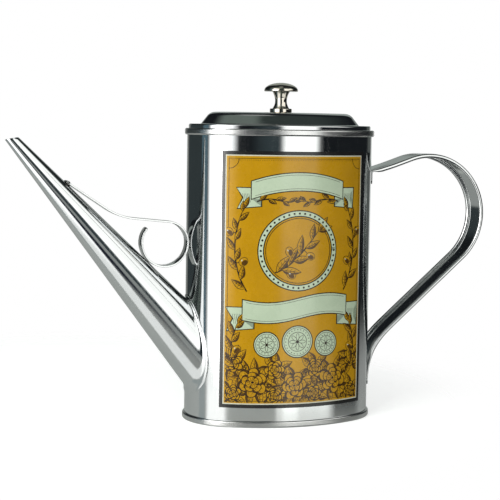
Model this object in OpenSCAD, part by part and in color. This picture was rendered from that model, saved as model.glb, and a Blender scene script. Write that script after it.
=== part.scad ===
// Oval olive oil can of polished steel sheet, with a slanted pouring spout,
// a scroll brace under it, a strap handle and a lift-off lid with a knob.
// The origin is on the standing plane, under the upright axis of the can.
// The spout points to -X, the handle to +X, the label faces -Y. Millimetres.

/* [Can body] */
// Half the length of the oval, wall to axis
body_half_length = 54; // [48:0.5:66]
// Half the depth of the oval, wall to axis
body_half_depth = 35.25; // [32:0.25:40]
// Radius of the two narrow ends of the oval
end_radius = 29; // [24:0.5:31]
// Height from the standing ring to the top of the mouth ring
body_height = 165; // [150:1:200]
// Thickness of the steel sheet of the can and the lid
sheet = 0.6; // [0.4:0.05:0.8]

/* [Seams] */
// How far a seam bead stands out past the wall
bead_out = 1.25; // [1.1:0.05:2]
// Height of the bead round the mouth
mouth_bead_h = 3.7; // [3:0.1:6]
// Height of the bead round the base
base_bead_h = 3.7; // [3:0.1:6]
// Rounding of the beads' outer corners
bead_round = 1; // [0.5:0.05:1.1]
// How far the inner leg of the mouth seam runs down past the bead
seam_leg = 1; // [0.5:0.1:3]
// Width of the ledge round the mouth, wall to opening
mouth_ledge = 4.6; // [4:0.1:6]
// Depth of the lip that turns down round the mouth
mouth_lip = 5; // [3:0.5:7]
// Height of the recessed floor over the standing plane
floor_rise = 3; // [2:0.25:5]

/* [Label] */
// How far the label wraps past the flat side onto the ends, degrees
label_wrap = 6.6; // [2:0.2:15]
// Height of the label's lower edge
label_low = 11; // [6:0.5:20]
// Clear wall between the label and the bead round the mouth
label_gap = 8.3; // [4:0.1:30]
// Thickness of the label
label_t = 0.2; // [0.1:0.05:0.4]

/* [Spout] */
// Rise of the spout's axis over the horizontal, degrees
spout_rise = 48.57; // [42:0.5:55]
// Height at which the spout's axis meets the wall
spout_root_z = 46; // [40:0.5:55]
// Outer radius where the axis meets the wall
spout_root_r = 16.4; // [12:0.2:18]
// Outer radius at the tip
spout_tip_r = 3.2; // [2.6:0.1:5]
// Length along the axis, wall to tip
spout_len = 149.4; // [120:1:165]
// Tilt of the cut at the tip, degrees
tip_tilt = 10.7; // [0:1:30]
// Width of the lip turned out round the root
root_lip_w = 2; // [1:0.25:4]
// Thickness of that lip
root_lip_t = 0.5; // [0.3:0.1:1]

/* [Scroll brace] */
// Width of the strip
brace_w = 8; // [5:0.5:10]
// Thickness of the strip
brace_t = 1; // [0.5:0.1:1.2]
// Radius of the scroll, to the middle of the strip
scroll_r = 13.2; // [11:0.1:14]
// Radius of the scroll's tighter first quarter, before the wall
scroll_in_r = 11.8; // [9:0.1:14]
// Turn of the scroll, degrees
scroll_turn = 304; // [240:2:315]
// Straight run from the arch to the scroll
brace_run = 20; // [12:0.5:24]
// Turn of the arch, degrees
arch_turn = 28; // [20:1:34]
// Radius of the arch
arch_r = 36; // [25:1:45]
// Angle at which the strip leaves the spout, degrees
brace_lift = 10; // [8:0.5:14]
// Length of the tab soldered to the spout
tab_len = 7; // [4:0.5:12]
// Solder between the brace and what it is fixed to
solder_gap = 0.2; // [0.15:0.05:0.4]

/* [Handle] */
// Width of the strap over its rims
strap_w = 20; // [16:0.5:24]
// Thickness of the strap
strap_t = 0.8; // [0.6:0.1:1.2]
// Diameter of the rolled rims
rim_d = 2.5; // [2:0.1:3.2]
// Height at which the strap leaves the wall
strap_top_z = 142.2; // [135:0.5:146]
// Rise of the strap where it leaves the wall, degrees
strap_rise = 19.6; // [10:0.5:30]
// Straight run from the wall to the grip's bend
strap_run = 23.6; // [15:0.5:30]
// Radius of the grip's bend
grip_r = 35.4; // [28:0.2:37]
// Turn of the grip's bend, degrees
grip_turn = 158; // [150:1:165]
// Radius of the lower bend, which brings the strap to the wall
foot_r = 41; // [20:1:45]
// How far below the upper bend's root the upper tongue reaches
top_tongue = 8; // [5:0.5:12]
// Length of the lower tongue under the lower bend
foot_tongue = 0.5; // [0.5:0.5:8]
// Radius of the fold at the upper tongue
fold_r = 2; // [1.5:0.25:3]
// How far from the wall the rims end
rim_stop = 4.5; // [4:0.5:14]
// Run over which the plain edges roll up into the rims
rim_run = 2; // [1:0.5:3]
// Distance from the wall over which the strap bends to the can's round end
wrap_run = 14; // [10:1:20]
// Seat of the strap's tongues on the wall
seat_gap = 0.1; // [0.05:0.05:0.3]

/* [Lid] */
// How far the lid's edge lies inside the wall line
lid_inset = 0.8; // [0.4:0.1:1.5]
// Height of the lid's turned-down edge
lid_edge_h = 2.5; // [2:0.1:4]
// Rounding of the lid's edge
lid_edge_round = 1; // [0.8:0.1:1.5]
// Distance from the wall line to the foot of the dome
dome_inset = 7.6; // [7:0.1:9]
// Height of the dome over the lid's flat rim
dome_h = 6.8; // [5:0.1:8]
// Slope of the dome's side, degrees
dome_slope = 52; // [40:1:60]
// Radius of the dome's shoulder
shoulder_r = 6; // [4:0.25:8]
// Radius of the fillet at the dome's foot
foot_fillet = 1; // [0.5:0.1:2]
// Depth to which the lid's collar reaches under the mouth ring's top
collar_drop = 8; // [6:0.5:14]
// Play between the lid's collar and the mouth's lip
collar_play = 0.3; // [0.2:0.05:0.6]
// Width of the flange by which the collar is fixed under the lid
collar_flange = 1.6; // [1:0.1:2]

/* [Knob] */
// Radius of the foot
knob_foot_r = 6.3; // [5:0.1:8]
// Height of the foot
knob_foot_h = 2.4; // [1.5:0.1:4]
// Radius of the waist
knob_waist_r = 3.8; // [3.4:0.1:4.6]
// Height of the waist over the lid
knob_waist_z = 6.7; // [5.5:0.1:8]
// Radius of the neck under the cap
knob_neck_r = 5; // [4.7:0.1:6]
// Height of the cap's underside over the lid
knob_cap_z = 12; // [11:0.1:15]
// Radius of the cap
knob_cap_r = 9.65; // [8:0.05:12]
// Height of the cap
knob_cap_h = 5; // [3:0.1:7]
// Screw diameter
screw_d = 4; // [3:0.5:4.5]
// Depth to which the screw reaches into the knob
screw_reach = 9; // [6:0.5:11]
// Diameter of the screw's head
screw_head_d = 8; // [7.5:0.1:9]
// Height of the screw's head
screw_head_h = 2.6; // [2:0.1:3]
// Width of the slot in the screw's head
screw_slot = 1.2; // [0.8:0.1:1.6]
// Radial play of the screw in the knob, the lid and the washer
screw_play = 0.1; // [0.05:0.05:0.3]
// Diameter of the washer under the lid
washer_d = 14; // [11:0.5:18]
// Thickness of the washer
washer_t = 1; // [0.6:0.1:1.5]

/* [Hidden] */
$fn = 120;
steel = "silver";
bright = "gainsboro";
// A cutting solid runs this far past what it cuts
over = 1;

// The oval is four arcs: two narrow ends and two flatter sides, tangent to each other
end_centre = body_half_length - end_radius;
side_radius = (pow(end_centre, 2) + pow(body_half_depth, 2) - pow(end_radius, 2))
    / (2 * (body_half_depth - end_radius));
side_centre = side_radius - body_half_depth;
end_span = atan2(side_centre, end_centre);

wall_top = body_height - sheet;
lid_flat_z = body_height + lid_edge_h;
lid_top_z = lid_flat_z + dome_h;
label_h = body_height - mouth_bead_h - label_gap - label_low;
// Width of the ring that carries a flat plate, and how far the plate runs into it
plate_lap = 4;
plate_in = plate_lap / 2;

// The spout runs from the wall to its tip along spout_dir
spout_dir = [-cos(spout_rise), sin(spout_rise)];
spout_taper = (spout_root_r - spout_tip_r) / spout_len;
spout_half_angle = atan(spout_taper);
// The cone is drawn past the wall and past the tip, then cut
cone_inside = 1.35 * spout_root_r * tan(spout_rise);
cone_outside = 1.5 * spout_tip_r;
tip_x = -body_half_length + spout_len * spout_dir[0];
tip_z = spout_root_z + spout_len * spout_dir[1];

// The brace lies along the spout's upper line, whose slope down to the can is spout_top
spout_top = spout_rise - spout_half_angle;
top_normal = [sin(spout_top), cos(spout_top)];
// A point on the spout's upper line, level with the tip of the cone's axis
top_point = [tip_x, tip_z] + spout_tip_r / cos(spout_half_angle) * top_normal;
scroll_out = scroll_r + brace_t / 2;
scroll_x = -body_half_length - scroll_out - solder_gap;
scroll_z = top_point[1]
    + (scroll_out + solder_gap - top_normal[0] * (scroll_x - top_point[0])) / top_normal[1];
lift_dir = -spout_top + brace_lift;
run_dir = lift_dir + arch_turn;
// The brace is laid out backwards from the scroll to the spout
// The scroll comes round the wall's side in a tighter quarter, which ends where it heads down
scroll_in = 90 + run_dir;
scroll_start = [scroll_x + scroll_r - scroll_in_r, scroll_z]
    + scroll_in_r * [-sin(run_dir), cos(run_dir)];
arch_end = scroll_start - brace_run * heading(run_dir);
arch_start = arch_end - arch_r * [sin(run_dir) - sin(lift_dir), cos(lift_dir) - cos(run_dir)];
tab_bend_r = 6;
tab_bend = tab_bend_r * [sin(lift_dir) + sin(spout_top), cos(spout_top) - cos(lift_dir)];
brace_off = brace_t / 2 + solder_gap;
arch_off = (arch_start - tab_bend - top_point) * top_normal - brace_off;
lift_run = arch_off / sin(brace_lift);
brace_start = arch_start - lift_run * heading(lift_dir) - tab_bend
    - tab_len * heading(-spout_top);

// The handle's strap is laid out along its outer face
grip_dir = strap_rise - grip_turn;
foot_turn = -90 - grip_dir;
fold_shift = fold_r * (1 - sin(strap_rise));
grip_shift = grip_r * (sin(strap_rise) - sin(grip_dir));
foot_shift = foot_r * (-1 - sin(grip_dir));
// The slanted straight is as long as brings the lower tongue to the wall
strap_slant = (fold_shift + strap_run * cos(strap_rise) + grip_shift + foot_shift - strap_t)
    / -cos(grip_dir);
tongue_round = 2.5;

dome_rise = dome_h - shoulder_r * (1 - cos(dome_slope));
dome_top_inset = dome_inset + dome_rise / tan(dome_slope) + shoulder_r * sin(dome_slope);
collar_out = mouth_ledge + collar_play;

function heading(a) = [cos(a), sin(a)];
function arc(c, r, from, to, n = 6) =
    [for (i = [0:n]) c + r * heading(from + (to - from) * i / n)];
function reversed(list) = [for (i = [len(list) - 1:-1:0]) list[i]];
// Points on the oval moved inwards by inset
function oval_points(inset, n = 6) = [
    for (side = [0, 1])
        each [
            for (p = concat(
                arc([end_centre, 0], end_radius - inset, -end_span, end_span, n),
                arc([0, -side_centre], side_radius - inset, end_span, 180 - end_span, n)
            )) side == 0 ? p : -p
        ]
];

// Sweeps a profile round a quarter of the oval: x is outward from the wall line, y is
// height. Both arcs start from the line through their centres, so they meet face to face.
module oval_quarter(end_turn = end_span + over) {
    reach = 2 * body_half_length;
    intersection() {
        translate([0, -side_centre, 0]) rotate([0, 0, end_span]) {
            rotate_extrude(angle = 90 + over - end_span, $fn = 3 * $fn)
                translate([side_radius, 0]) children();
            translate([side_radius - end_radius, 0, 0]) mirror([0, 1, 0])
                rotate_extrude(angle = end_turn) translate([end_radius, 0]) children();
        }
        translate([0, 0, -reach]) cube([reach, reach, 4 * reach]);
    }
}

module oval_sweep() {
    for (x = [0, 1], y = [0, 1])
        mirror([x, 0, 0]) mirror([0, y, 0]) oval_quarter() children();
}

// A flat plate whose edge lies inside the ring that carries it
module oval_plate(inset, z) {
    translate([0, 0, z]) linear_extrude(sheet) polygon(oval_points(inset));
}

// Walks along a path in the XZ plane. Each step is [straight run, turn, radius]; the
// result lists [point, direction] at the start, at each straight's end and round each bend.
function walk(p, dir, steps, every, i = 0) =
    i == len(steps) ? [] : let (
        turn = steps[i][1],
        side = turn < 0 ? -steps[i][2] : steps[i][2],
        corner = p + steps[i][0] * heading(dir),
        n = ceil(abs(turn) / every),
        bend = n == 0 ? [[corner, dir]] : [for (k = [0:n]) let (d = dir + turn * k / n)
            [corner + side * [sin(d) - sin(dir), cos(dir) - cos(d)], d]]
    ) concat(i == 0 ? [[p, dir]] : [], bend, walk(bend[n][0], dir + turn, steps, every, i + 1));

// Turns a shape drawn in the XY plane upright, with its start at p heading by angle
module upright(p, angle) {
    translate([p[0], 0, p[1]]) rotate([90, 0, 0]) rotate([0, 0, angle]) children();
}

// The narrow end of the can as a solid, moved out by grow: spout -1, handle 1
module end_block(side, grow = 0) {
    translate([side * end_centre, 0, -over])
        cylinder(r = end_radius + grow, h = body_height + 2 * over);
}

// The spout's cone as a solid, moved out by grow
module spout_taper_solid(grow) {
    len = cone_inside + spout_len + cone_outside;
    r1 = spout_root_r + grow + cone_inside * spout_taper;
    r2 = spout_tip_r + grow - cone_outside * spout_taper;
    translate([-body_half_length, 0, spout_root_z])
        rotate([0, spout_rise - 90, 0])
            translate([0, 0, -cone_inside])
                cylinder(h = len, r1 = r1, r2 = r2);
}

module body_shell() {
    color(steel) difference() {
        oval_sweep() translate([-sheet, sheet]) square([sheet, wall_top - sheet]);
        spout_taper_solid(-sheet);
    }
}

// Inverted channel over the wall's edge, a ledge inwards and a lip turned down
module mouth_ring() {
    bead_low = body_height - mouth_bead_h;
    out = bead_out - bead_round;
    color(bright) oval_sweep() polygon(concat(
        [[0, bead_low]],
        arc([out, bead_low + bead_round], bead_round, -90, 0),
        arc([out, body_height - bead_round], bead_round, 0, 90),
        arc([sheet - mouth_ledge, body_height - sheet], sheet, 90, 180, 3),
        [
            [-mouth_ledge, body_height - mouth_lip],
            [sheet - mouth_ledge, body_height - mouth_lip],
            [sheet - mouth_ledge, wall_top],
            [-2 * sheet, wall_top],
            [-2 * sheet, bead_low - seam_leg],
            [-sheet, bead_low - seam_leg],
            [-sheet, wall_top],
            [0, wall_top]
        ]
    ));
}

// Seam round the foot of the wall, with the floor recessed inside the standing ring
module base_pan() {
    out = bead_out - bead_round;
    color(bright) {
        oval_sweep() polygon(concat(
            [[0, sheet], [-sheet, sheet], [-sheet, floor_rise + sheet]],
            [[-sheet - plate_lap, floor_rise + sheet], [-sheet - plate_lap, floor_rise]],
            [[-2 * sheet, floor_rise], [-2 * sheet, 0]],
            arc([out, bead_round], bead_round, -90, 0),
            arc([out, base_bead_h - bead_round], bead_round, 0, 90),
            [[0, base_bead_h]]
        ));
        oval_plate(sheet + plate_in, floor_rise);
    }
}

module front_label() {
    color("goldenrod") for (x = [0, 1])
        mirror([x, 0, 0]) mirror([0, 1, 0]) oval_quarter(label_wrap)
            translate([0, label_low]) square([label_t, label_h]);
}

module spout_cone() {
    color(steel) difference() {
        union() {
            difference() {
                spout_taper_solid(0);
                end_block(-1);
            }
            intersection() {
                difference() {
                    end_block(-1, root_lip_t);
                    end_block(-1);
                }
                spout_taper_solid(root_lip_w);
            }
        }
        spout_taper_solid(-sheet);
        translate([tip_x, 0, tip_z])
            rotate([0, -tip_tilt, 0])
                translate([-spout_root_r, -spout_root_r, 0]) cube(2 * spout_root_r);
    }
}

module scroll_brace() {
    path = walk(brace_start, -spout_top, [
        [tab_len, brace_lift, tab_bend_r],
        [lift_run, arch_turn, arch_r],
        [brace_run, -scroll_in, scroll_in_r],
        [0, scroll_in - scroll_turn, scroll_r]
    ], 6);
    side = [for (s = path) brace_t / 2 * heading(s[1] + 90)];
    last = len(path) - 1;
    color(bright) upright([0, 0], 0) linear_extrude(brace_w, center = true) polygon(concat(
        [for (i = [0:last]) path[i][0] + side[i]],
        [for (i = [last:-1:0]) path[i][0] - side[i]]
    ));
}

// Solder that fills the gaps between the brace and the spout, and the brace and the wall
module solder_spots() {
    spot_w = 0.7 * brace_w;
    spot_t = 1.2;
    spot_h = 0.45 * scroll_r;
    $fn = 400;
    color("gray") {
        difference() {
            upright(brace_start, -spout_top)
                translate([0, -brace_t / 2 - spot_t, -spot_w / 2]) cube([tab_len, spot_t, spot_w]);
            spout_taper_solid(0);
        }
        difference() {
            translate([-body_half_length - spot_t, -spot_w / 2, scroll_z - spot_h / 2])
                cube([2 * spot_t, spot_w, spot_h]);
            end_block(-1);
            translate([scroll_x, spot_w, scroll_z]) rotate([90, 0, 0])
                cylinder(r = scroll_out, h = 2 * spot_w);
        }
    }
}

// Cross section of the strap: x is to the left of the path, y across the strap. The edges
// are rolled to radius r, which is half the sheet where they stay plain.
function strap_section(half, r, n = 6, m = 5) = let (
    y = half - r,
    last = -180 - asin((r - strap_t) / r),
    inner = y + r * cos(last),
    rim = [for (k = [1:m - 1]) let (a = 90 + (last - 90) * k / m) [r * sin(a) - r, r * cos(a)]]
) concat(
    [for (i = [0:n]) [0, y * (2 * i / n - 1)]],
    [for (q = rim) [q[0], y + q[1]]],
    [for (i = [0:n]) [-strap_t, inner * (1 - 2 * i / n)]],
    [for (q = reversed(rim)) [q[0], -y - q[1]]]
);

// One ring of the strap's skin: station s on the path, bent round the can's end by wrap
function strap_ring(s, half, r, wrap) = [
    for (q = strap_section(half, r))
        let (n = q[0] * heading(s[1] + 90))
            [
                s[0][0] + n[0] - wrap * (end_radius - sqrt(pow(end_radius, 2) - pow(q[1], 2))),
                q[1],
                s[0][1] + n[1]
            ]
];

// 0 before the first value, 1 after the second, and smooth between
function ease(from, to, x) = let (u = max(0, min(1, (x - from) / (to - from)))) u * u * (3 - 2 * u);

// Closed skin through rings that have the same number of points
module skin(rings) {
    n = len(rings[0]);
    last = len(rings) - 1;
    polyhedron(
        points = [for (ring = rings) each ring],
        faces = concat(
            [[for (i = [0:n - 1]) i], [for (i = [n - 1:-1:0]) last * n + i]],
            [for (k = [0:last - 1], i = [0:n - 1], half = [0, 1])
                let (j = (i + 1) % n, low = k * n, high = low + n)
                    half == 0 ? [low + i, high + i, high + j] : [low + i, high + j, low + j]]
        )
    );
}

// Strap with rolled rims, folded onto the wall above and bent onto it below. Its tongues
// have round corners and follow the round end of the can.
module handle_strap() {
    plain_r = strap_t / 2;
    half = strap_w / 2;
    // Runs between the rings that draw a tongue's round corner
    corner_runs = tongue_round * [0.08, 0.22, 0.3, 0.4];
    runs = 4;
    path = walk([body_half_length + seat_gap, strap_top_z - top_tongue], 90, concat(
        [for (r = corner_runs) [r, 0, 0]],
        [[top_tongue - tongue_round - fold_r, strap_rise - 90, fold_r]],
        [for (i = [2:runs]) [strap_run / runs, 0, 0]],
        [[strap_run / runs, -grip_turn, grip_r], [strap_slant, foot_turn, foot_r]],
        [[foot_tongue, 0, 0]],
        [for (r = reversed(corner_runs)) [r, 0, 0]]
    ), 8);
    last = len(path) - 1;
    color(steel) skin([
        for (i = [0:last]) let (
            s = path[i],
            off = s[0][0] - body_half_length,
            end = path[i < last / 2 ? 0 : last][0][1],
            in = tongue_round - min(tongue_round, s[0][1] - end)
        ) strap_ring(
            s,
            half - tongue_round + sqrt(pow(tongue_round, 2) - pow(in, 2)),
            plain_r + (rim_d / 2 - plain_r) * ease(rim_stop - rim_run, rim_stop, off),
            1 - ease(rim_run, wrap_run, off)
        )
    ]);
}

// One face of the lid's sheet, moved into the lid by t
function lid_line(t) = concat(
    [[-lid_inset - t, body_height]],
    arc([-lid_inset - lid_edge_round, lid_flat_z - lid_edge_round], lid_edge_round - t, 0, 90),
    arc(
        [foot_fillet * tan(dome_slope / 2) - dome_inset, lid_flat_z + foot_fillet],
        foot_fillet + t, -90, -90 - dome_slope
    ),
    arc([-dome_top_inset, lid_top_z - shoulder_r], shoulder_r - t, 90 - dome_slope, 90),
    [[-dome_top_inset - plate_lap, lid_top_z - t]]
);
module screw_hole(z) {
    translate([0, 0, z - over])
        cylinder(r = screw_d / 2 + screw_play, h = 2 * over + washer_t, $fn = 48);
}

module lid_cover() {
    color(steel) difference() {
        union() {
            oval_sweep() polygon(concat(lid_line(0), reversed(lid_line(sheet))));
            oval_plate(dome_top_inset + plate_in, lid_top_z - sheet);
        }
        screw_hole(lid_top_z - sheet);
    }
}

// Upright band that plugs into the mouth, with a flange fixed under the lid
module lid_collar() {
    top = lid_flat_z - sheet;
    inner = -collar_out - sheet;
    flange = -collar_out + collar_flange;
    color(bright) oval_sweep() polygon([
        [inner, body_height - collar_drop],
        [-collar_out, body_height - collar_drop],
        [-collar_out, top - sheet],
        [flange, top - sheet],
        [flange, top],
        [inner, top]
    ]);
}

// One side of the knob's neck, from radius r at height z to the waist
function neck_points(r, z, n = 8) = [
    for (i = [0:n - 1])
        let (u = 1 - i / n)
            [knob_waist_r + (r - knob_waist_r) * u * u, knob_waist_z + (z - knob_waist_z) * u]
];

module lid_knob() {
    edge = 0.5;
    rise = knob_cap_h - edge;
    translate([0, 0, lid_top_z]) color("tan") difference() {
        rotate_extrude() polygon(concat(
            [[0, 0], [knob_foot_r - edge, 0], [knob_foot_r, edge]],
            arc([knob_foot_r - edge, knob_foot_h - edge], edge, 0, 90, 3),
            neck_points(knob_foot_r - 3 * edge, knob_foot_h),
            reversed(neck_points(knob_neck_r, knob_cap_z)),
            arc([knob_cap_r - edge, knob_cap_z + edge], edge, -90, 0, 3),
            [for (a = [6:6:90]) [knob_cap_r * cos(a), knob_cap_z + edge + rise * sin(a)]]
        ));
        translate([0, 0, -over])
            cylinder(r = screw_d / 2 + screw_play, h = screw_reach + 2 * over, $fn = 48);
    }
}

module knob_washer() {
    color(bright) translate([0, 0, lid_top_z - sheet - washer_t]) difference() {
        cylinder(r = washer_d / 2, h = washer_t, $fn = 64);
        screw_hole(0);
    }
}

module knob_screw() {
    seat = lid_top_z - sheet - washer_t;
    color("gray") difference() {
        union() {
            translate([0, 0, seat - screw_head_h])
                cylinder(r = screw_head_d / 2, h = screw_head_h, $fn = 64);
            translate([0, 0, seat])
                cylinder(r = screw_d / 2, h = lid_top_z + screw_reach - seat, $fn = 48);
        }
        translate([-screw_head_d, -screw_slot / 2, seat - screw_head_h - over])
            cube([2 * screw_head_d, screw_slot, over + screw_head_h / 2]);
    }
}

body_shell();
mouth_ring();
base_pan();
front_label();
spout_cone();
scroll_brace();
solder_spots();
handle_strap();
lid_cover();
lid_collar();
lid_knob();
knob_screw();
knob_washer();
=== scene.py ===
import math
from collections import defaultdict

import bmesh
import bpy
import numpy as np
from mathutils import Matrix, Vector


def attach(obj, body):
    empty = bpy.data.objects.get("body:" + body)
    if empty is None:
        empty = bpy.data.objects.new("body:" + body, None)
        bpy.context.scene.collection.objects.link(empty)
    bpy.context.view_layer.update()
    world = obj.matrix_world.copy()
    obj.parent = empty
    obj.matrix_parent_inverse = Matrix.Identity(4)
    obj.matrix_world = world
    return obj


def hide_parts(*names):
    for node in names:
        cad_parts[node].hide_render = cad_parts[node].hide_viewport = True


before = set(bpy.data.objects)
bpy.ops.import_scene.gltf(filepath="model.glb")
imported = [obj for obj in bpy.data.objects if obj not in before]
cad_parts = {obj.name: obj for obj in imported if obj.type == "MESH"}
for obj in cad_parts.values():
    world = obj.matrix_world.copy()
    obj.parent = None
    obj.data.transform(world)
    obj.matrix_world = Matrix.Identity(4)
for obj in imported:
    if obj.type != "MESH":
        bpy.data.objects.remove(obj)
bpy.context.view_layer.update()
scene = bpy.context.scene
scene.view_settings.view_transform = "Standard"
MM = 0.001

# The sizes of the can, the same as in the solids, in millimetres
HALF_LENGTH = 54.0
HALF_DEPTH = 35.25
END_R = 29.0
HEIGHT = 165.0
SHEET = 0.6
END_CENTRE = HALF_LENGTH - END_R
SIDE_R = (END_CENTRE ** 2 + HALF_DEPTH ** 2 - END_R ** 2) / (2 * (HALF_DEPTH - END_R))
SIDE_CENTRE = SIDE_R - HALF_DEPTH
END_SPAN = math.degrees(math.atan2(SIDE_CENTRE, END_CENTRE))
WALL_TOP = HEIGHT - SHEET
BEAD_OUT = 1.25
BEAD_H = 3.7
LID_FLAT_Z = HEIGHT + 2.5
LID_TOP_Z = LID_FLAT_Z + 6.8


def heading(a):
    return np.array([math.cos(math.radians(a)), math.sin(math.radians(a))])


def arc(c, r, start, end, n=12):
    return [tuple(np.array(c) + r * heading(start + (end - start) * i / n)) for i in range(n + 1)]


def smoothstep(a, b, x):
    u = min(1.0, max(0.0, (x - a) / (b - a)))
    return u * u * (3 - 2 * u)


def add_piece(name, verts, faces, material, body, slot_name, replaced=(), sharp=32, solid=0.0):
    mesh = bpy.data.meshes.new(name)
    mesh.from_pydata([tuple(np.array(v) * MM) for v in verts], [], faces)
    mesh.validate()
    bm = bmesh.new()
    bm.from_mesh(mesh)
    bmesh.ops.remove_doubles(bm, verts=bm.verts, dist=1e-7)
    bmesh.ops.recalc_face_normals(bm, faces=bm.faces)
    bm.to_mesh(mesh)
    bm.free()
    for p in mesh.polygons:
        p.use_smooth = True
    obj = bpy.data.objects.new(name, mesh)
    scene.collection.objects.link(obj)
    if solid:
        mod = obj.modifiers.new("solid", "SOLIDIFY")
        mod.thickness = solid * MM
        mod.offset = -1
        mod.use_even_offset = True
        bpy.context.view_layer.update()
        made = obj.evaluated_get(bpy.context.evaluated_depsgraph_get())
        mesh = bpy.data.meshes.new_from_object(made)
        obj.modifiers.clear()
        obj.data = mesh
    mesh.set_sharp_from_angle(angle=math.radians(sharp))
    mesh.materials.clear()
    mesh.materials.append(material)
    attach(obj, body)
    if replaced:
        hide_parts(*replaced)
    return obj


# Material helpers

def new_material(name):
    m = bpy.data.materials.new(name)
    m.use_nodes = True
    tree = m.node_tree
    tree.nodes.clear()
    out = tree.nodes.new("ShaderNodeOutputMaterial")
    shader = tree.nodes.new("ShaderNodeBsdfPrincipled")
    tree.links.new(shader.outputs[0], out.inputs["Surface"])
    return m, tree, shader, out


def coords(tree, scale):
    tc = tree.nodes.new("ShaderNodeTexCoord")
    mp = tree.nodes.new("ShaderNodeMapping")
    mp.inputs["Scale"].default_value = scale
    tree.links.new(tc.outputs["Object"], mp.inputs["Vector"])
    return mp.outputs[0]


def noise(tree, scale, detail=4.0, rough=0.55, stretch=(1, 1, 1), distortion=0.0):
    n = tree.nodes.new("ShaderNodeTexNoise")
    n.inputs["Scale"].default_value = scale
    n.inputs["Detail"].default_value = detail
    n.inputs["Roughness"].default_value = rough
    n.inputs["Distortion"].default_value = distortion
    tree.links.new(coords(tree, stretch), n.inputs["Vector"])
    return n.outputs["Fac"]


def remap(tree, value, lo, hi, out_lo, out_hi, smooth=False):
    n = tree.nodes.new("ShaderNodeMapRange")
    if smooth:
        n.interpolation_type = "SMOOTHSTEP"
    n.clamp = True
    tree.links.new(value, n.inputs["Value"])
    n.inputs["From Min"].default_value = lo
    n.inputs["From Max"].default_value = hi
    n.inputs["To Min"].default_value = out_lo
    n.inputs["To Max"].default_value = out_hi
    return n.outputs["Result"]


def math_node(tree, op, a, b=None):
    n = tree.nodes.new("ShaderNodeMath")
    n.operation = op
    for i, v in enumerate((a, b)):
        if v is None:
            continue
        if isinstance(v, (int, float)):
            n.inputs[i].default_value = v
        else:
            tree.links.new(v, n.inputs[i])
    return n.outputs[0]


def mix_colour(tree, fac, a, b):
    n = tree.nodes.new("ShaderNodeMix")
    n.data_type = "RGBA"
    if isinstance(fac, (int, float)):
        n.inputs[0].default_value = fac
    else:
        tree.links.new(fac, n.inputs[0])
    for i, v in ((6, a), (7, b)):
        if isinstance(v, tuple):
            n.inputs[i].default_value = (*v, 1)
        else:
            tree.links.new(v, n.inputs[i])
    return n.outputs[2]


def bump(tree, shader, height, strength, distance, under=None):
    n = tree.nodes.new("ShaderNodeBump")
    n.inputs["Strength"].default_value = strength
    n.inputs["Distance"].default_value = distance
    tree.links.new(height, n.inputs["Height"])
    if under is not None:
        tree.links.new(under, n.inputs["Normal"])
    tree.links.new(n.outputs[0], shader.inputs["Normal"])
    return n.outputs[0]


def steel(name, tint, shade, rough_lo, rough_hi, grain, wave=0.00003, smudge=0.35):
    m, tree, s, out = new_material(name)
    s.inputs["Metallic"].default_value = 1.0
    cloud = noise(tree, 26, 5, 0.6)
    fine = noise(tree, 700, 3, 0.6, grain)
    base = mix_colour(tree, remap(tree, cloud, 0.35, 0.7, 0, 1), tint, shade)
    tree.links.new(base, s.inputs["Base Color"])
    marks = noise(tree, 55, 6, 0.7, (1, 1, 0.6), 0.6)
    soft = remap(tree, marks, 0.48, 0.72, rough_lo, rough_lo + smudge * (rough_hi - rough_lo))
    lines = remap(tree, fine, 0.4, 0.75, 0.0, (1 - smudge) * (rough_hi - rough_lo))
    tree.links.new(math_node(tree, "ADD", soft, lines), s.inputs["Roughness"])
    waves = noise(tree, 17, 1, 0.4, (1, 1, 0.35))
    first = bump(tree, s, waves, 1.0, wave)
    bump(tree, s, fine, 0.5, 0.0000012, first)
    return m


# Mesh helpers

def refine(profile, closed, near=0.07, least=0.5):
    """Adds points close to both ends of each long straight run, so that shading stays flat on it."""
    out = []
    n = len(profile)
    for i in range(n if closed else n - 1):
        a = np.array(profile[i], float)
        b = np.array(profile[(i + 1) % n], float)
        out.append(tuple(a))
        d = np.linalg.norm(b - a)
        if d > least:
            out.append(tuple(a + (b - a) * near / d))
            out.append(tuple(b - (b - a) * near / d))
    if not closed:
        out.append(tuple(profile[-1]))
    return out


def oval_stations(n_end=64, n_side=56):
    """Points on the wall line with their outward normals, anticlockwise from the handle side."""
    out = []
    for turn in (0, 180):
        cx = END_CENTRE if turn == 0 else -END_CENTRE
        for i in range(n_end):
            a = -END_SPAN + 2 * END_SPAN * i / n_end + turn
            n = heading(a)
            out.append((cx + END_R * n[0], END_R * n[1], n[0], n[1]))
        cy = -SIDE_CENTRE if turn == 0 else SIDE_CENTRE
        for i in range(n_side):
            a = END_SPAN + (180 - 2 * END_SPAN) * i / n_side + turn
            n = heading(a)
            out.append((SIDE_R * n[0], cy + SIDE_R * n[1], n[0], n[1]))
    return out


STATIONS = oval_stations()


def oval_sweep(profile, closed=True):
    """Sweeps (outward, height) points round the oval. An open profile is capped at both ends."""
    profile = refine(profile, closed)
    m = len(profile)
    n = len(STATIONS)
    verts = [(x + nx * p[0], y + ny * p[0], p[1]) for x, y, nx, ny in STATIONS for p in profile]
    faces = []
    for i in range(n):
        j = (i + 1) % n
        for k in range(m if closed else m - 1):
            q = (k + 1) % m
            faces.append((i * m + k, j * m + k, j * m + q, i * m + q))
    if not closed:
        faces.append(tuple(i * m for i in range(n)))
        faces.append(tuple(i * m + m - 1 for i in range(n)))
    return verts, faces


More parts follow.
